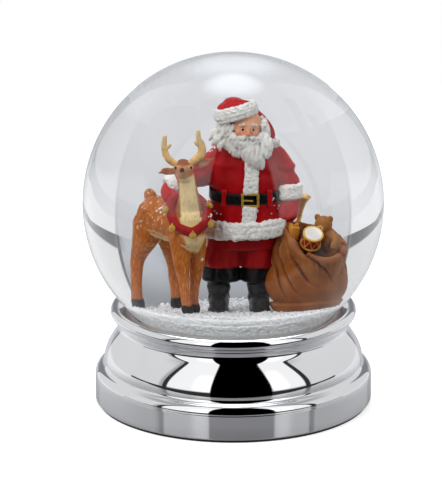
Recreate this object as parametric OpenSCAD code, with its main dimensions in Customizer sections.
// Santa snow globe: water-filled glass globe on a plated base with a wind-up musical movement.
// Origin: centre of the base's footprint, on the surface it stands on. +Z up, -Y is the front.

/* [Globe] */
// Outer diameter of the glass globe
globe_d = 100; // [80:1:130]
// Wall of the glass globe
globe_wall = 2.4; // [1.6:0.1:4]
// Outer radius of the glass neck
neck_r = 34; // [30:0.5:38]
// Wall of the glass neck
neck_wall = 3; // [2:0.1:4]
// Height of the glass neck below the globe
neck_h = 5.3; // [3:0.1:8]

/* [Base] */
// Outer radius of the foot band
foot_r = 46.3; // [44:0.1:60]
// Height of the straight foot band
foot_h = 9; // [7:0.5:12]
// Wall of the plated base shell
shell_wall = 1.6; // [1.2:0.1:2.4]
// Thickness of the rubber ring under the foot
ring_t = 0.8; // [0.5:0.1:2]
// Radial width of the solid foot
foot_w = 4.7; // [3:0.1:6]
// Depth of the recess that the winding key hangs in, above the rubber ring
key_recess = 5.7; // [5:0.1:12]
// Thickness of the bottom cover
cover_t = 1.5; // [1:0.1:3]
// Radial gap between the glass neck and the base's collar, filled by the seat ring
seat_w = 2.4; // [1.6:0.1:5]

/* [Plug and ground] */
// Thickness of the plug's flange under the glass neck
flange_t = 1.8; // [1:0.1:4]
// Height of the plug above the top of the glass neck
plug_rise = 1.7; // [0.5:0.1:4]
// Height of the snow-covered plinth
plinth_h = 7.5; // [4:0.1:12]
// Free height between the hat and the top of the globe's inside
headroom = 20.1; // [10:0.1:40]
// Number of loose snow flakes
flake_count = 90; // [20:1:160]
// Diameter of a loose flake
flake_d = 1.1; // [0.6:0.1:2]

/* [Movement] */
// Distance of the winding shaft from the base's axis
key_x = 11; // [9:0.1:12]
// Thickness of the movement's bedplate
plate_t = 1.6; // [1.2:0.1:3]
// Radius of the brass drum
drum_r = 6; // [5:0.1:6.5]
// Length of the brass drum
drum_l = 15; // [10:0.5:15]
// Height of a pin above the drum
pin_h = 0.4; // [0.2:0.05:0.5]
// Number of teeth on the comb
comb_teeth = 18; // [8:1:18]
// Radius of the winding shaft
shaft_r = 1.25; // [1:0.05:1.6]
// Pitch radius of the drum's crown pinion
pinion_pitch_r = 5; // [4.5:0.1:5.2]
// Width across the wings of the winding key
key_w = 19; // [12:0.5:22]
// Radial clearance of a shaft in its bearing
run_gap = 0.05; // [0.02:0.01:0.1]

/* [Hidden] */
$fn = 96;
eps = 0.01;
glue_gap = 0.05; // gap of a glued or seated face

// Levels, from the ground up
cover_z = ring_t + key_recess;
plate_z = cover_z + cover_t;
axis_z = plate_z + plate_t + drum_r + pin_h + 0.5;
crown_tooth = 0.8; // half the height of a crown tooth
crown_t = 1.2;
crown_tooth_w = 0.17 * pinion_pitch_r;
crown_z = axis_z + pinion_pitch_r + crown_tooth;
movement_top = crown_z + crown_t;
shelf_z = movement_top + 0.7;
neck_z0 = shelf_z + flange_t + glue_gap;
neck_z1 = neck_z0 + neck_h;
lip_z = neck_z1 + 1.7;

// Globe
globe_r = globe_d / 2;
globe_ri = globe_r - globe_wall;
neck_ri = neck_r - neck_wall;
globe_z = neck_z1 + sqrt(globe_r * globe_r - neck_r * neck_r);
plug_z = neck_z1 + plug_rise;
floor_z = plug_z + plinth_h;
plinth_r = neck_ri - 0.7; // it goes in through the neck
collar_r = neck_r + seat_w; // bore of the base's collar

// Figures: drawn on a floor at zero for a figure of this height, then scaled to the globe
drawn_h = 55;
figure_k = (globe_z + globe_ri - headroom - floor_z) / drawn_h;
fig_fn = 16;

// Movement
key_at = [-key_x, 0];
teeth_crown = 32;
teeth_pinion = 12;
crown_pitch_r = pinion_pitch_r * teeth_crown / teeth_pinion;
housing_r = crown_pitch_r - 0.95;
housing_h = pinion_pitch_r + drum_r - 1.6;
pinion_w = 1.5;
pinion_x = -key_x + crown_pitch_r - pinion_w / 2;
post_t = 0.8;
post_x = pinion_x + pinion_w + 0.4;
drum_x = post_x + post_t + 0.3;
frame_x = drum_x + drum_l + 0.6;
wheel_x = frame_x + post_t + 0.4;
wheel_w = 1.2;
teeth_wheel = 24;
teeth_transfer = 8;
module_transfer = 0.45;
wheel_pitch_r = module_transfer * teeth_wheel / 2;
transfer_pitch_r = module_transfer * teeth_transfer / 2;
transfer_y = wheel_pitch_r + transfer_pitch_r;
teeth_worm_wheel = 24;
worm_pitch = 1.1;
worm_wheel_r = worm_pitch * teeth_worm_wheel / (2 * PI);
worm_wheel_x = wheel_x + wheel_w + 0.8;
worm_core_r = 1.3;
worm_ecc = 0.3;
worm_addendum = 0.35;
worm_x = worm_wheel_x + wheel_w / 2;
worm_y = transfer_y + worm_wheel_r + worm_addendum + worm_core_r - worm_ecc + 0.25;
plate_x0 = -key_x - housing_r - 0.8;
plate_x1 = worm_wheel_x + wheel_w + 2.4;
plate_y0 = -19;
plate_y1 = 15.5;
frame_h = axis_z - plate_z - plate_t;
comb_y = drum_r + pin_h + 0.3;
comb_heel_y = comb_y + 5.8;
comb_end_y = comb_heel_y + 5;
comb_t = 0.6;
shaft_small_r = 0.8;
screw_r = 1;
screw_at_r = foot_r - foot_w - 4.7;
boss_r = 2.4;
boss_h = 8;
movement_screw_at = [[plate_x0 + 2.2, -14], [plate_x0 + 2.2, 12.5], [plate_x1 - 3, -15]];

// Points on a quadratic curve from a to c, pulled towards b
function curve(a, b, c, n = 8) =
    [for (i = [0:n]) let (t = i / n) (1 - t) * (1 - t) * a + 2 * t * (1 - t) * b + t * t * c];
function polar(r, a) = [r * cos(a), r * sin(a)];

// ---------------------------------------------------------------- base

// Outer outline of the base, from the foot's underside to the collar's mouth, as radius and height
function base_outline() = let (f = foot_r, z = foot_h, t = lip_z) concat(
    curve([f - 0.7, ring_t], [f, ring_t], [f, ring_t + 0.7], 3),
    curve([f, z], [f - 0.1, z + 2.1], [f - 2.5, z + 2.3]),
    curve([f - 2.9, z + 2.6], [f - 1.8, z + 2.8], [f - 2.1, z + 4.2], 5),
    curve([f - 2.2, z + 4.6], [f - 2.4, z + 7.2], [f - 4.6, z + 10.2]),
    curve([f - 7.7, t - 9.4], [f - 8.8, t - 7.9], [f - 7.8, t - 6.2], 6),
    curve([f - 7.8, t - 6.2], [f - 7, t - 4.4], [f - 5.8, t - 3.4], 5),
    curve([f - 5.8, t - 3.4], [f - 4.9, t - 2.4], [f - 5.4, t - 1.2], 5),
    curve([f - 5.4, t - 1.2], [f - 6, t], [f - 7, t], 5),
    curve([f - 7, t], [f - 7.8, t], [f - 8.2, t - 0.8], 4));

// Inner outline, from the collar's mouth back down to the foot
function base_inside() = let (f = foot_r, w = shell_wall, z = foot_h, c = f - foot_w) [
    [collar_r, lip_z - 2.8], [collar_r, shelf_z], [neck_r - 1.2, shelf_z],
    [neck_r - 1.2, shelf_z - 1.2], [f - 7.8 - w, shelf_z - 1.2],
    [f - 3.8 - w, z + 8.5], [f - 2.2 - w - 0.3, z + 4.6], [f - 2.9 - w, z + 2],
    [c - 2, plate_z + 1.4], [c - 2, plate_z], [c, plate_z], [c, ring_t]];

module base_shell() {
    color("silver") difference() {
        union() {
            rotate_extrude() polygon(concat(base_outline(), base_inside()));
            for (a = [30, 150, 270]) {
                translate([polar(screw_at_r, a).x, polar(screw_at_r, a).y, plate_z + glue_gap])
                    cylinder(r = boss_r, h = boss_h);
                rotate([0, 0, a]) translate([screw_at_r + 1.6, -0.8, plate_z + glue_gap])
                    cube([foot_r - 4.2 - shell_wall / 2 - screw_at_r, 1.6, 5.2]);
            }
        }
        for (a = [30, 150, 270])
            translate([polar(screw_at_r, a).x, polar(screw_at_r, a).y, plate_z - eps])
                cylinder(r = screw_r + 0.02, h = boss_h - 1);
    }
}

module rubber_foot_ring() {
    color("dimgray") rotate_extrude() polygon([
        [foot_r - foot_w + 0.3, 0], [foot_r - 0.9, 0],
        [foot_r - 0.7, ring_t], [foot_r - foot_w + 0.3, ring_t]]);
}

module pan_screw(shank_r, shank_l, head_r, head_h) {
    difference() {
        union() {
            cylinder(r = shank_r, h = shank_l);
            translate([0, 0, -head_h]) cylinder(r1 = head_r * 0.85, r2 = head_r, h = head_h);
        }
        for (a = [0, 90]) rotate([0, 0, a])
            translate([-head_r * 0.6, -0.25, -head_h - eps]) cube([head_r * 1.2, 0.5, head_h * 0.6]);
    }
}

module bottom_cover() {
    color("darkslategray") difference() {
        translate([0, 0, cover_z]) cylinder(r = foot_r - foot_w - 0.3, h = cover_t);
        translate([key_at.x, key_at.y, cover_z - eps]) cylinder(r = shaft_r + 1, h = cover_t + 2 * eps);
        for (a = [30, 150, 270])
            translate([polar(screw_at_r, a).x, polar(screw_at_r, a).y, cover_z - eps])
                cylinder(r = screw_r + 0.3, h = cover_t + 2 * eps);
        for (p = movement_screw_at)
            translate([p.x, p.y, cover_z - eps]) cylinder(r = 1.1, h = cover_t + 2 * eps);
    }
}

module cover_screws() {
    color("gray") for (a = [30, 150, 270])
        translate([polar(screw_at_r, a).x, polar(screw_at_r, a).y, cover_z])
            pan_screw(screw_r, cover_t + boss_h - 2, 2.2, 1.2);
}

module globe_seat_ring() {
    color("saddlebrown") rotate_extrude() polygon([
        [neck_r + glue_gap, shelf_z], [collar_r - glue_gap, shelf_z],
        [collar_r - glue_gap, lip_z - 3], [neck_r + 1.2, neck_z1 - 0.2], [neck_r + glue_gap, neck_z1 - 0.4]]);
}

// ---------------------------------------------------------------- globe

module globe_glass() {
    color("azure", 0.3) difference() {
        union() {
            translate([0, 0, globe_z]) sphere(r = globe_r);
            translate([0, 0, neck_z0]) cylinder(r = neck_r, h = neck_h);
        }
        translate([0, 0, globe_z]) sphere(r = globe_ri);
        translate([0, 0, neck_z0 - eps]) cylinder(r = neck_ri, h = neck_h + globe_wall + plug_rise);
        translate([0, 0, neck_z0 - globe_r]) cube(2 * globe_r, center = true);
    }
}

module rubber_plug() {
    color("ivory") {
        translate([0, 0, shelf_z]) cylinder(r = neck_r, h = flange_t);
        translate([0, 0, shelf_z + flange_t / 2])
            cylinder(r = neck_ri - glue_gap, h = plug_z - shelf_z - flange_t / 2);
    }
}

module snow_plinth() {
    color("white") rotate_extrude() polygon(concat(
        [[0, plug_z], [plinth_r - 1, plug_z]],
        curve([plinth_r - 0.4, plug_z + 1], [plinth_r + 0.1, floor_z - 2.4], [plinth_r - 0.4, floor_z - 0.9], 4),
        curve([plinth_r - 0.4, floor_z - 0.9], [plinth_r - 0.8, floor_z], [plinth_r - 2.4, floor_z], 4),
        [[0, floor_z]]));
}

// Places of the feet and of the sack, where no flake lies: x, y, radius on the drawn floor
feet = [[-2.4, 4, 5.2], [6, 4, 5.8], [17.6, 2.4, 11.6], [-11.8, -9.3, 2.8], [-9.6, -3, 2.8],
    [-21.5, 7.4, 2.8], [-12.3, 12.2, 2.8]];
function clear_of_feet(p) =
    len([for (f = feet) if (norm(p - [f.x, f.y] * figure_k) < f.z * figure_k + flake_d) 1]) == 0;

module loose_flakes() {
    golden = 137.508;
    color("white") for (i = [1:flake_count])
        let (p = polar((plinth_r - 2.4 - flake_d) * sqrt(i / flake_count), i * golden))
            if (clear_of_feet(p))
                translate([p.x, p.y, floor_z]) rotate([0, 0, i * 17]) cylinder(d = flake_d, h = 0.18, $fn = 6);
}

module liquid() {
    cav = 10; // facets round the hollow that the figures take up
    color("lightcyan", 0.2) difference() {
        translate([0, 0, globe_z]) sphere(r = globe_ri - 3 * glue_gap, $fn = 48);
        translate([0, 0, plug_z - globe_r - 5 + 0.1]) cube(2 * globe_r + 10, center = true);
        translate([0, 0, plug_z - 1]) cylinder(r = plinth_r / cos(180 / 40) + 0.2, h = plinth_h + 1 + 0.3, $fn = 40);
        on_floor() {
            santa_form(0.35, cav);
            reindeer_form(0.35, cav);
            antler_form(0.3, 8);
            sack_form(0.4, cav);
            limb([[14.4, 6.2, 16, 1.6], [17, 6.2, 26.6, 2.6]], 0, cav);
            hull() {
                ball([14.8, -1, 20], 3.9, cav);
                ball([19.6, -3.4, 18.8], 4.6, cav);
                ball([22.6, 2, 21], 4.2, cav);
                ball([24.2, 1.4, 16], 4.6, cav);
            }
        }
    }
}

// ---------------------------------------------------------------- figures

module on_floor() {
    translate([0, 0, floor_z]) scale(figure_k) children();
}

module below_floor() {
    translate([0, 0, -50]) cube(100, center = true);
}

// A ball whose facets lie outside the radius when fn is low
module ball(p, r, fn = fig_fn) {
    translate(p) sphere(r = r / cos(180 / fn), $fn = fn);
}

// A limb: balls at points, joined two by two; each entry is [x, y, z, radius]
module limb(path, grow = 0, fn = fig_fn) {
    for (i = [0:len(path) - 2]) hull() {
        for (q = [path[i], path[i + 1]]) ball([q.x, q.y, q.z], q[3] + grow, fn);
    }
}

// A flattened slab of a body: an ellipse with half sizes a and b at a height
module slab(p, a, b, h, grow, fn) {
    translate(p) scale([1, (b + grow) / (a + grow), 1])
        cylinder(r = (a + grow) / cos(180 / fn), h = h, center = true, $fn = fn);
}

module stack(rows, grow, fn) {
    for (i = [0:len(rows) - 2]) hull() {
        for (q = [rows[i], rows[i + 1]]) slab([q[0], q[1], q[2]], q[3], q[4], 0.02 + 2 * grow, grow, fn);
    }
}

// Rows: x, y, height, half width, half depth
coat_rows = [[3, 4.4, 18.8, 9.8, 7.8], [3.2, 4.4, 23, 9.6, 7.6], [3.4, 4.2, 30, 9.2, 7.2],
    [3.6, 4.6, 36, 9, 6.6], [3.6, 5, 40.4, 7.4, 5], [3.4, 5, 42.4, 4, 3.8]];
trouser_rows = [[1.4, 4.2, 9.8, 8.4, 5.4], [2.2, 4.2, 14, 8.8, 5.8], [2.8, 4.4, 20, 8.6, 6.2]];
boot_left = [[-3, 5, 9, 3.4], [-3.2, 4.8, 4, 2.9], [-3.2, 3.6, 2.4, 2.4], [-3.4, 1.2, 2.05, 2.05]];
boot_right = [[6, 5, 9, 3.5], [6.2, 4.8, 4, 3], [6.4, 3.6, 2.4, 2.4], [6.8, 1.2, 2.05, 2.05]];
arm_right = [[10.2, 5, 38, 3.4], [12.6, 4.6, 34, 3], [13.6, 3.4, 29.8, 3]];
hand_right = [[13.8, 3, 28.6, 2.6], [14, 2.4, 25.2, 2.3], [14, 2, 23.6, 1.9]];
arm_left = [[-3.2, 6, 38, 3.4], [-7.6, 5.6, 33.2, 3], [-13.4, 4, 31.2, 2.3]];
hand_left = [[-14.4, 3.4, 30.6, 2], [-16, 2.2, 29.4, 1.7]];
head_at = [2.8, 3.2, 47.2];
hat_rows = [[2.6, 3.6, 50, 5], [1.8, 5, 51.6, 3.2]];
hat_tail = [[2.4, 6.4, 50.6, 3], [7.2, 7.8, 47.2, 2], [9.6, 6.8, 43, 1.2]];

module santa_form(grow = 0, fn = fig_fn) {
    stack(coat_rows, grow, fn);
    stack(trouser_rows, grow, fn);
    limb(boot_left, grow, fn);
    limb(boot_right, grow, fn);
    limb(arm_right, grow, fn);
    limb(hand_right, grow, fn);
    limb(arm_left, grow, fn);
    limb(hand_left, grow, fn);
    ball(head_at, 5.2 + grow, fn);
    hull() {
        ball([3.6, 0.2, 45.2], 3.4 + grow, fn);
        ball([5.4, -0.8, 40.2], 2.6 + grow, fn);
    }
    ball([-1.6, 4, 44.6], 3.4 + grow, fn);
    limb([for (q = hat_rows) q], grow, fn);
    limb(hat_tail, grow, fn);
    ball([10.2, 6.6, 41.4], 1.9 + grow, fn);
}

module santa() {
    color("firebrick") on_floor() difference() {
        santa_form();
        below_floor();
    }
}

trunk = [[-17.4, 8.6, 21.2, 5.4], [-14.4, 2, 21, 4.9], [-11.6, -4.4, 21, 5]];
neck = [[-11.3, -5.4, 24.6, 4.2], [-11.7, -7.6, 31.4, 3], [-12.3, -8.2, 36, 2.7]];
muzzle = [[-13, -7.6, 38.4, 2.8], [-13.8, -11.4, 38.6, 1.6]];
foreleg_near = [[-12.7, -6, 18, 2.7], [-12.6, -7.4, 10, 1.6], [-12.2, -8.4, 3.8, 1.25], [-11.8, -9.2, 1.5, 1.45]];
foreleg_far = [[-9.2, -3.6, 17, 2.6], [-9.3, -3.4, 10, 1.6], [-9.7, -3, 3.8, 1.25], [-9.6, -3.4, 1.5, 1.45]];
hindleg_near = [[-19.4, 8.4, 19.4, 4], [-20.2, 7.8, 15, 2.9], [-21.2, 10, 10.8, 1.8],
    [-21.9, 8.6, 4.6, 1.4], [-21.6, 7.4, 1.5, 1.5]];
hindleg_far = [[-15, 10.6, 18.6, 3.6], [-14.2, 10.4, 14.4, 2.6], [-13.6, 12.6, 10.6, 1.7],
    [-12.8, 12.4, 4.6, 1.4], [-12.3, 11.8, 1.5, 1.5]];
ears = [[[-15.2, -7.2, 38.6, 0.9], [-17.4, -7.2, 38, 1.1], [-19.4, -7.2, 38, 0.5]],
    [[-10.4, -7, 39.2, 0.9], [-8, -6.6, 40, 1.1], [-5.8, -6.2, 41.2, 0.5]]];

module reindeer_form(grow = 0, fn = fig_fn) {
    limb(trunk, grow, fn);
    limb(neck, grow, fn);
    limb(muzzle, grow, fn);
    limb(foreleg_near, grow, fn);
    limb(foreleg_far, grow, fn);
    limb(hindleg_near, grow, fn);
    limb(hindleg_far, grow, fn);
    for (e = ears) limb(e, grow, min(fn, 10));
    limb([[-18.4, 12.6, 24.4, 1.5], [-19.2, 13.4, 25.8, 0.8]], grow, fn);
    hull() {
        ball([-12.2, -5.6, 24.6], 4.9 + grow, fn);
        ball([-10.9, -6.8, 24.2], 4.9 + grow, fn);
    }
}

module reindeer() {
    color("sienna") on_floor() difference() {
        reindeer_form();
        antler_form(0.12, 8);
        santa_form(0.2, 10);
        below_floor();
    }
}

antler_left = [[-14.6, -7.2, 40.2, 0.8], [-16.8, -7, 40.8, 1], [-18.4, -7, 43.6, 1], [-18.9, -7.2, 48.4, 0.5]];
antler_right = [[-11.4, -7, 40.8, 0.8], [-9.2, -7, 41.4, 1], [-8, -7, 44, 1], [-9.4, -7.2, 50, 0.5]];
tines = [[[-18.2, -7, 44.6, 0.7], [-17, -7.4, 45.9, 0.4]], [[-8.3, -7, 45.4, 0.7], [-9.8, -7.4, 46.8, 0.4]]];

module antler_form(grow = 0, fn = 12) {
    limb(antler_left, grow, fn);
    limb(antler_right, grow, fn);
    for (t = tines) limb(t, grow, fn);
}

module antlers() {
    color("burlywood") on_floor() antler_form();
}

// Rows of the sack: x, y, height, half width, half depth
sack_rows = [[17.6, 2.2, 0.2, 7.4, 6.2], [17.8, 2.2, 2.6, 9.4, 7.6], [18, 2.4, 8, 10.2, 8.2],
    [18.4, 2.4, 12.4, 9.4, 7.6], [19.4, 1.6, 15.4, 7.6, 6.4]];

module sack_form(grow = 0, fn = fig_fn) {
    stack(sack_rows, grow, fn);
    hull() {
        ball([13.2, 2, 14], 3.6 + grow, fn);
        ball([13.2, 1.6, 20.8], 1.5 + grow, fn);
    }
}

module toy_sack() {
    color("saddlebrown") on_floor() difference() {
        sack_form();
        santa_form(0.25, 10);
        below_floor();
        drum_place() cylinder(r = 3.3 / cos(180 / 24), h = 5, $fn = 24);
        bear_form(0.25, 10);
        horn_hole();
        gift_place() cube([2.6, 2.6, 5], center = true);
    }
}

module drum_place() {
    translate([19.6, -2.6, 18.6]) rotate([26, 22, 0]) translate([0, 0, -3]) children();
}

module toy_drum() {
    color("gold") on_floor() drum_place() {
        translate([0, 0, 0.2]) cylinder(r = 3, h = 4.2, $fn = 48);
        translate([0, 0, 3.5]) cylinder(r = 3.2, h = 1, $fn = 48);
        translate([0, 0, 0.1]) cylinder(r = 3.2, h = 1, $fn = 48);
    }
}

module bear_form(grow = 0, fn = 14) {
    ball([22, 2.4, 21.2], 2.2 + grow, fn);
    ball([21.2, 0.6, 20.8], 1 + grow, fn);
    ball([20.5, 3, 23], 0.8 + grow, fn);
    ball([23.6, 2.8, 22.6], 0.8 + grow, fn);
    hull() {
        ball([23.4, 2.2, 17.6], 2.6 + grow, fn);
        ball([22.6, 2.6, 19.6], 1.8 + grow, fn);
    }
    hull() {
        ball([24.4, 1, 18.6], 0.9 + grow, fn);
        ball([23.8, -1, 17.4], 0.8 + grow, fn);
    }
}

module toy_bear() {
    color("peru") on_floor() difference() {
        bear_form();
        drum_place() cylinder(r = 3.35 / cos(180 / 24), h = 6, $fn = 24);
    }
}

module horn_place() {
    translate([14.6, 6.2, 16.8]) rotate([0, 13, 0]) children();
}

module horn_hole() {
    horn_place() translate([0, 0, -0.2]) cylinder(r = 1, h = 12, $fn = 16);
}

module toy_horn() {
    color("goldenrod") on_floor() horn_place() rotate_extrude($fn = 32) polygon(concat(
        [[0, 0], [0.55, 0], [0.6, 6.4]],
        curve([0.6, 6.4], [0.7, 9.2], [1.7, 10.8], 4), [[0, 10.8]]));
}

module gift_place() {
    translate([14.6, -1.2, 19.6]) rotate([10, 8, 30]) children();
}

module gift_box() {
    color("orange") on_floor() gift_place() cube([2.2, 2.2, 4.6], center = true);
}

// ---------------------------------------------------------------- movement

// Outline of a spur gear with straight-sided teeth
function gear_outline(n, pitch_r, add, ded, tip, root) = [
    for (i = [0:n - 1]) for (q = [[-root, pitch_r - ded], [-tip, pitch_r + add], [tip, pitch_r + add], [root, pitch_r - ded]])
        let (a = 360 * i / n) [
            q[1] * cos(a) - q[0] * sin(a),
            q[1] * sin(a) + q[0] * cos(a)]];

module spur(n, pitch_r, add, ded, tip, root, w) {
    linear_extrude(w) polygon(gear_outline(n, pitch_r, add, ded, tip, root));
}

// Turns a shape drawn along +Z to run along +X from a place
module along_x(x, y = 0) {
    translate([x, y, axis_z]) rotate([90, 0, 90]) children();
}

module bedplate() {
    color("lightsteelblue") difference() {
        union() {
            translate([plate_x0, plate_y0, plate_z]) cube([plate_x1 - plate_x0, plate_y1 - plate_y0, plate_t]);
            translate([drum_x - 0.3, -comb_end_y, plate_z])
                cube([drum_l + 0.6, comb_end_y - comb_heel_y + 0.4, axis_z - plate_z - comb_t / 2]);
        }
        translate([key_at.x, key_at.y, plate_z - eps]) cylinder(r = shaft_r + run_gap, h = plate_t + 2 * eps);
        for (p = movement_screw_at) translate([p.x, p.y, plate_z - eps]) cylinder(r = 0.8, h = plate_t + 2 * eps);
        for (x = comb_screw_x) translate([x, -comb_end_y + 2.4, axis_z - 5]) cylinder(r = 0.7, h = 6);
    }
}

module movement_screws() {
    color("gray") for (p = movement_screw_at)
        translate([p.x, p.y, cover_z]) pan_screw(0.77, cover_t + plate_t, 1.8, 1);
}

module spring_housing() {
    z0 = plate_z + plate_t;
    color("gainsboro") difference() {
        translate([key_at.x, key_at.y, z0]) cylinder(r = housing_r, h = housing_h);
        translate([key_at.x, key_at.y, z0 - eps]) cylinder(r = housing_r - 0.8, h = housing_h - 0.8 + eps);
        translate([key_at.x, key_at.y, z0]) cylinder(r = shaft_r + run_gap, h = housing_h + eps);
    }
}

// Flat strip wound in a spiral, from the shaft's collar to the housing's wall
module mainspring() {
    turns = 6;
    strip = 0.35;
    r0 = shaft_r + 1.3;
    r1 = housing_r - 0.8 - strip - 0.1;
    steps = turns * 20;
    line = [for (i = [0:steps]) let (a = 360 * turns * i / steps) [r0 + (r1 - r0) * i / steps, a]];
    color("slategray") translate([key_at.x, key_at.y, plate_z + plate_t + 0.5])
        linear_extrude(housing_h - 1.8) polygon(concat(
            [for (q = line) polar(q[0], q[1])],
            [for (i = [steps:-1:0]) polar(line[i][0] + strip, line[i][1])]));
}

module winding_shaft() {
    z0 = ring_t + 1.4;
    color("darkgray") translate([key_at.x, key_at.y, 0]) {
        translate([0, 0, z0]) cylinder(r = shaft_r, h = movement_top - z0);
        translate([0, 0, plate_z + plate_t + 0.3]) cylinder(r = shaft_r + 1, h = housing_h - 1.4);
    }
}

module main_gear() {
    color("goldenrod") translate([key_at.x, key_at.y, 0]) difference() {
        union() {
            translate([0, 0, crown_z]) cylinder(r = crown_pitch_r + 1, h = crown_t);
            translate([0, 0, plate_z + plate_t + housing_h + 0.3])
                cylinder(r = 3, h = crown_z - plate_z - plate_t - housing_h);
            for (i = [0:teeth_crown - 1]) rotate([0, 0, (i + 0.5) * 360 / teeth_crown])
                translate([crown_pitch_r - 1, -crown_tooth_w / 2, crown_z - 2 * crown_tooth])
                    cube([2, crown_tooth_w, 2 * crown_tooth + eps]);
        }
        translate([0, 0, plate_z]) cylinder(r = shaft_r + eps, h = movement_top);
    }
}

module winding_key() {
    z0 = ring_t + 0.3;
    key_h = key_recess - 0.8;
    color("gold") translate([key_at.x, key_at.y, z0]) difference() {
        union() {
            cylinder(r = 3, h = key_h);
            for (s = [-1, 1]) {
                translate([s < 0 ? -key_w / 2 + 2.2 : 0, -0.9, 0]) cube([key_w / 2 - 2.2, 1.8, key_h - 0.4]);
                translate([s * (key_w / 2 - 2.2), 0.9, (key_h - 0.4) / 2]) rotate([90, 0, 0])
                    cylinder(r = (key_h - 0.4) / 2, h = 1.8);
            }
        }
        translate([0, 0, 1.1]) cylinder(r = shaft_r + eps, h = key_h);
    }
}

module pin_drum() {
    pins = 46;
    color("gold") along_x(drum_x) {
        difference() {
            cylinder(r = drum_r, h = drum_l);
            translate([0, 0, -eps]) cylinder(r = shaft_small_r + eps, h = drum_l + 2 * eps);
        }
        for (i = [0:pins - 1]) rotate([0, 0, i * 47])
            translate([drum_r - 0.2, 0, 0.9 + (i * 7 % comb_teeth) * (drum_l - 1.8) / (comb_teeth - 1)])
                rotate([0, 90, 0]) cylinder(r = 0.16, h = 0.2 + pin_h, $fn = 14);
    }
}

// The drum's shaft with the crown pinion cut on its end
module drum_pinion() {
    color("darkkhaki") union() {
        along_x(pinion_x) spur(teeth_pinion, pinion_pitch_r, 0.6, 0.9, 0.06 * pinion_pitch_r, 0.124 * pinion_pitch_r, pinion_w);
        along_x(pinion_x + pinion_w / 2) cylinder(r = shaft_small_r, h = wheel_x + wheel_w / 2 - pinion_x);
    }
}

module drum_wheel() {
    color("goldenrod") along_x(wheel_x) rotate([0, 0, 180 / teeth_wheel]) difference() {
        spur(teeth_wheel, wheel_pitch_r, 0.3, 0.5, 0.16, 0.36, wheel_w);
        translate([0, 0, -eps]) cylinder(r = shaft_small_r + eps, h = wheel_w + 2 * eps);
    }
}

module comb() {
    pitch = (drum_l - 1.8) / (comb_teeth - 1);
    color("silver") difference() {
        union() {
            translate([drum_x + 0.2, -comb_end_y, axis_z - comb_t / 2]) cube([drum_l - 0.4, comb_end_y - comb_heel_y, comb_t]);
            for (i = [0:comb_teeth - 1])
                translate([drum_x + 0.9 + i * pitch - 0.25, -comb_heel_y - eps, axis_z - comb_t / 2])
                    cube([0.5, comb_heel_y - comb_y + eps, comb_t * 0.7]);
        }
        for (x = comb_screw_x) translate([x, -comb_end_y + 2.4, axis_z - 5]) cylinder(r = 0.9, h = 10);
    }
}
comb_screw_x = [drum_x + 3.5, drum_x + drum_l - 3.5];

module comb_screws() {
    color("dimgray") for (x = comb_screw_x)
        translate([x, -comb_end_y + 2.4, axis_z + comb_t / 2]) rotate([180, 0, 0]) pan_screw(0.68, 4.6, 1.5, 1);
}

// A plate across the drum's axis, standing on the bedplate
module cross_plate(x, y0, y1, top) {
    translate([x, y0, plate_z + plate_t]) cube([post_t, y1 - y0, top - plate_z - plate_t]);
}

module drum_post() {
    color("lightsteelblue") difference() {
        cross_plate(post_x, -2.2, 2.2, axis_z + 2);
        along_x(post_x - 1) cylinder(r = shaft_small_r + run_gap, h = post_t + 2);
    }
}

module governor_frame() {
    top = axis_z + 5.6;
    far_x = worm_wheel_x + wheel_w + 0.8;
    color("lightsteelblue") difference() {
        union() {
            cross_plate(frame_x, -2.4, worm_y + 1.6, top);
            cross_plate(far_x, transfer_y - 2, transfer_y + 2, top);
            translate([frame_x, transfer_y - 2, top - post_t])
                cube([far_x + post_t - frame_x, worm_y - transfer_y + 3.6, post_t]);
        }
        along_x(frame_x - 1) cylinder(r = shaft_small_r + run_gap, h = post_t + 2);
        along_x(frame_x - 1, transfer_y) cylinder(r = 0.6 + run_gap, h = post_t + 2);
        along_x(far_x - 1, transfer_y) cylinder(r = 0.6 + run_gap, h = post_t + 2);
        translate([worm_x, worm_y, top - 2]) cylinder(r = 0.5 + run_gap, h = 4);
    }
}

module transfer_wheel() {
    x1 = worm_wheel_x + wheel_w + 0.8 + post_t;
    color("goldenrod") {
        along_x(frame_x + 0.1, transfer_y) cylinder(r = 0.6, h = x1 - frame_x - 0.1);
        along_x(wheel_x, transfer_y) spur(teeth_transfer, transfer_pitch_r, 0.3, 0.5, 0.16, 0.34, wheel_w);
        along_x(worm_wheel_x, transfer_y)
            spur(teeth_worm_wheel, worm_wheel_r, worm_addendum, 0.4, 0.1, 0.24, wheel_w);
    }
}

module governor_fan() {
    turns = 5;
    thread_h = turns * worm_pitch;
    color("silver") translate([worm_x, worm_y, 0]) {
        translate([0, 0, plate_z + plate_t + 0.1]) cylinder(r = 0.5, h = axis_z + 5.7 - plate_z - plate_t, $fn = 24);
        translate([0, 0, axis_z - thread_h / 2]) rotate([0, 0, -90])
            linear_extrude(thread_h, twist = -360 * turns, slices = turns * 8, $fn = 12)
                translate([worm_ecc, 0]) circle(r = worm_core_r);
        for (a = [0, 180]) rotate([0, 0, a]) translate([0, -0.15, plate_z + plate_t + 0.6]) cube([2.8, 0.3, 1.6]);
    }
}

// ---------------------------------------------------------------- nodes

rubber_foot_ring();
base_shell();
bottom_cover();
cover_screws();
globe_seat_ring();
globe_glass();
rubber_plug();
snow_plinth();
loose_flakes();
liquid();
santa();
reindeer();
antlers();
toy_sack();
toy_drum();
toy_bear();
toy_horn();
gift_box();
bedplate();
movement_screws();
spring_housing();
mainspring();
winding_shaft();
main_gear();
winding_key();
pin_drum();
drum_pinion();
drum_wheel();
comb();
comb_screws();
drum_post();
governor_frame();
transfer_wheel();
governor_fan();
